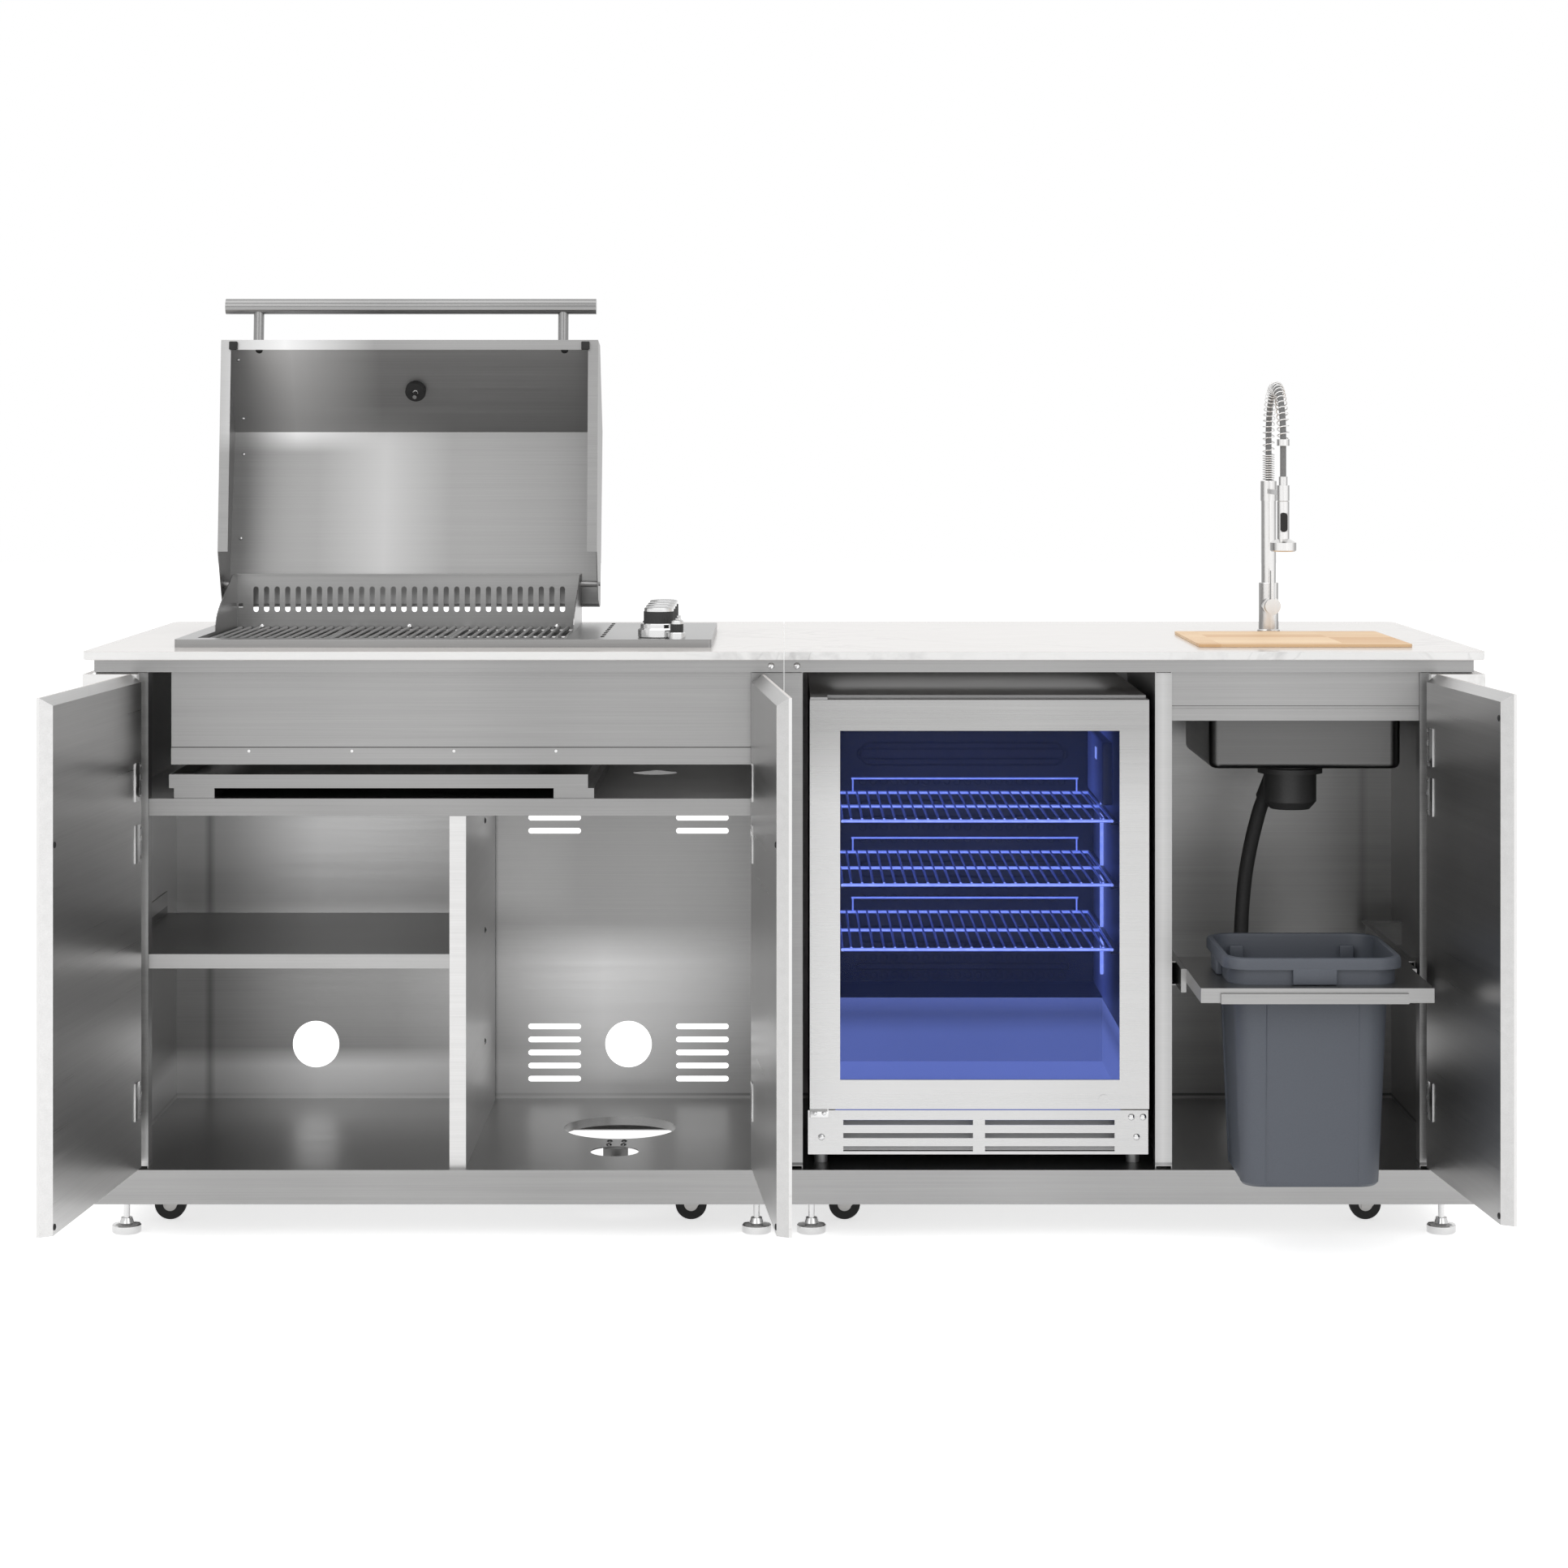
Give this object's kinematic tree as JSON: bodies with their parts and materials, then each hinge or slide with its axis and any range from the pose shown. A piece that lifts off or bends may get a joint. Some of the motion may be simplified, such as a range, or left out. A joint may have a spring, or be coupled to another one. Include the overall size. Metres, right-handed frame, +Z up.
{
  "type": "outdoor kitchen island",
  "caption": "Outdoor kitchen island: steel cabinets under a stone worktop with a drop-in grill, refrigerator, sink with spring faucet and pull-out bin, doors open.",
  "frame": {"origin": "centre of the footprint at the ground", "axes": "+X to the right seen from the doors, +Y to the back, +Z up"},
  "size_m": [2.4536, 1.4776, 1.6649],
  "materials": {
    "bamboo": "oiled bamboo strips",
    "bright": "bright",
    "dark_plastic": "matt black",
    "glass": "clear, tinted by the blue light inside",
    "grey_plastic": "blue-grey",
    "panel": "smooth white stone panel",
    "rubber": "black",
    "steel": "brushed along its length",
    "stone": "polished white stone with soft grey veins"
  },
  "bodies": {
    "island": {"base_left": "steel", "base_right": "steel", "bay_aprons": "steel", "bin_slides": "steel", "burners": "steel", "cabinet_bands": "steel", "carcass_left": "steel", "carcass_right": "steel", "caster_forks": "steel", "cooking_grates": "steel", "dome_bolts": "bright", "drain_hose": "dark_plastic", "end_claddings": "panel", "faucet_base": "steel", "firebox": "steel", "fridge_cabinet": "steel", "fridge_grille": "steel", "fridge_shelves": "bright", "grill_frame": "steel", "half_shelf": "steel", "heat_shelf": "steel", "hinge_plates": "steel", "knob_bezels": "bright", "levelling_feet": "bright", "sink_bowl": "steel", "sink_drain": "dark_plastic", "tank_bay_divider": "steel", "worktop_left": "stone", "worktop_right": "stone"},
    "door_left": {"door_left": "steel", "door_left_cladding": "panel"},
    "door_middle": {"door_middle": "steel", "door_middle_cladding": "panel"},
    "door_right": {"door_right": "steel", "door_right_cladding": "panel"},
    "fridge_door": {"fridge_door": "steel", "fridge_glass": "glass"},
    "hood": {"hood": "steel", "hood_handle": "steel", "thermometer": "steel"},
    "drip_tray": {"drip_tray": "steel"},
    "bin": {"bin_carrier": "steel", "waste_bin": "grey_plastic"},
    "igniter_button": {"igniter_button": "dark_plastic"},
    "faucet_neck": {"faucet_neck": "steel", "faucet_spring": "steel", "spray_hose": "dark_plastic"},
    "spray_head": {"spray_head": "steel"},
    "spray_button": {"spray_button": "dark_plastic"},
    "faucet_lever": {"faucet_lever": "steel"},
    "cutting_board": {"cutting_board": "bamboo"},
    "rear_wheels": {"rear_wheels": "rubber"},
    "knob_1": {"knob_1": "bright"},
    "front_wheel_1": {"front_wheel_1": "rubber"},
    "knob_2": {"knob_2": "bright"},
    "front_wheel_2": {"front_wheel_2": "rubber"},
    "knob_3": {"knob_3": "bright"},
    "front_wheel_3": {"front_wheel_3": "rubber"},
    "knob_4": {"knob_4": "bright"},
    "front_wheel_4": {"front_wheel_4": "rubber"}
  },
  "joints": [
    {"name": "door_left_hinge", "type": "hinge", "parent": "island", "child": "door_left", "pos_m": [-1.1367, -0.1952, 0.52], "axis": [0, 0, -1], "range_deg": [-95, 10]},
    {"name": "door_middle_hinge", "type": "hinge", "parent": "island", "child": "door_middle", "pos_m": [-0.0424, -0.1952, 0.52], "axis": [0, 0, 1], "range_deg": [-95, 3]},
    {"name": "door_right_hinge", "type": "hinge", "parent": "island", "child": "door_right", "pos_m": [1.1367, -0.1952, 0.52], "axis": [0, 0, 1], "range_deg": [-7, 10]},
    {"name": "fridge_door_hinge", "type": "hinge", "parent": "island", "child": "fridge_door", "pos_m": [0.057, -0.1932, 0.586], "axis": [0, 0, -1], "range_deg": [0, 90]},
    {"name": "hood_hinge", "type": "hinge", "parent": "island", "child": "hood", "pos_m": [-0.713, 0.3738, 1.12], "axis": [-1, 0, 0], "range_deg": [-96, 0]},
    {"name": "drip_tray_slide", "type": "slide", "parent": "island", "child": "drip_tray", "axis": [0, -1, 0], "range_m": [0, 0.42]},
    {"name": "bin_slide", "type": "slide", "parent": "island", "child": "bin", "axis": [0, -1, 0], "range_m": [-0.26, 0.09]},
    {"name": "igniter_press", "type": "slide", "parent": "island", "child": "igniter_button", "axis": [0, 0, -1], "range_m": [0, 0.004], "stiffness_N_per_m": 800, "springref_m": -0.003},
    {"name": "faucet_swivel", "type": "hinge", "parent": "island", "child": "faucet_neck", "pos_m": [0.928, 0.3898, 1.14], "axis": [0, 0, 1], "range_deg": [-90, 90]},
    {"name": "spray_head_pull", "type": "slide", "parent": "faucet_neck", "child": "spray_head", "axis": [0, 0, -1], "range_m": [0, 0.04]},
    {"name": "spray_button_press", "type": "slide", "parent": "spray_head", "child": "spray_button", "axis": [0, 1, 0], "range_m": [0, 0.0015], "stiffness_N_per_m": 1500, "springref_m": -0.001},
    {"name": "faucet_lever_turn", "type": "hinge", "parent": "island", "child": "faucet_lever", "pos_m": [0.928, 0.3508, 1.079], "axis": [0, 1, 0], "range_deg": [0, 75]},
    {"name": "cutting_board_lift", "type": "slide", "parent": "island", "child": "cutting_board", "axis": [0, 0, 1], "range_m": [0, 0.12]},
    {"name": "rear_wheels_roll", "type": "hinge", "parent": "island", "child": "rear_wheels", "pos_m": [0, 0.3628, 0.0295], "axis": [1, 0, 0], "continuous": true},
    {"name": "knob_1_turn", "type": "hinge", "parent": "island", "child": "knob_1", "pos_m": [-0.2246, -0.0312, 1.075], "axis": [0, 0, 1], "range_deg": [0, 180]},
    {"name": "knob_2_turn", "type": "hinge", "parent": "island", "child": "knob_2", "pos_m": [-0.2246, 0.0558, 1.075], "axis": [0, 0, 1], "range_deg": [0, 180]},
    {"name": "knob_3_turn", "type": "hinge", "parent": "island", "child": "knob_3", "pos_m": [-0.2246, 0.1428, 1.075], "axis": [0, 0, 1], "range_deg": [0, 180]},
    {"name": "knob_4_turn", "type": "hinge", "parent": "island", "child": "knob_4", "pos_m": [-0.2246, 0.2298, 1.075], "axis": [0, 0, 1], "range_deg": [0, 180]},
    {"name": "front_wheel_1_roll", "type": "hinge", "parent": "island", "child": "front_wheel_1", "pos_m": [-1.0988, -0.0402, 0.0295], "axis": [0, 1, 0], "continuous": true},
    {"name": "front_wheel_2_roll", "type": "hinge", "parent": "island", "child": "front_wheel_2", "pos_m": [-0.1663, -0.0402, 0.0295], "axis": [0, 1, 0], "continuous": true},
    {"name": "front_wheel_3_roll", "type": "hinge", "parent": "island", "child": "front_wheel_3", "pos_m": [0.1083, -0.0402, 0.0295], "axis": [0, 1, 0], "continuous": true},
    {"name": "front_wheel_4_roll", "type": "hinge", "parent": "island", "child": "front_wheel_4", "pos_m": [1.0408, -0.0402, 0.0295], "axis": [0, 1, 0], "continuous": true}
  ]
}
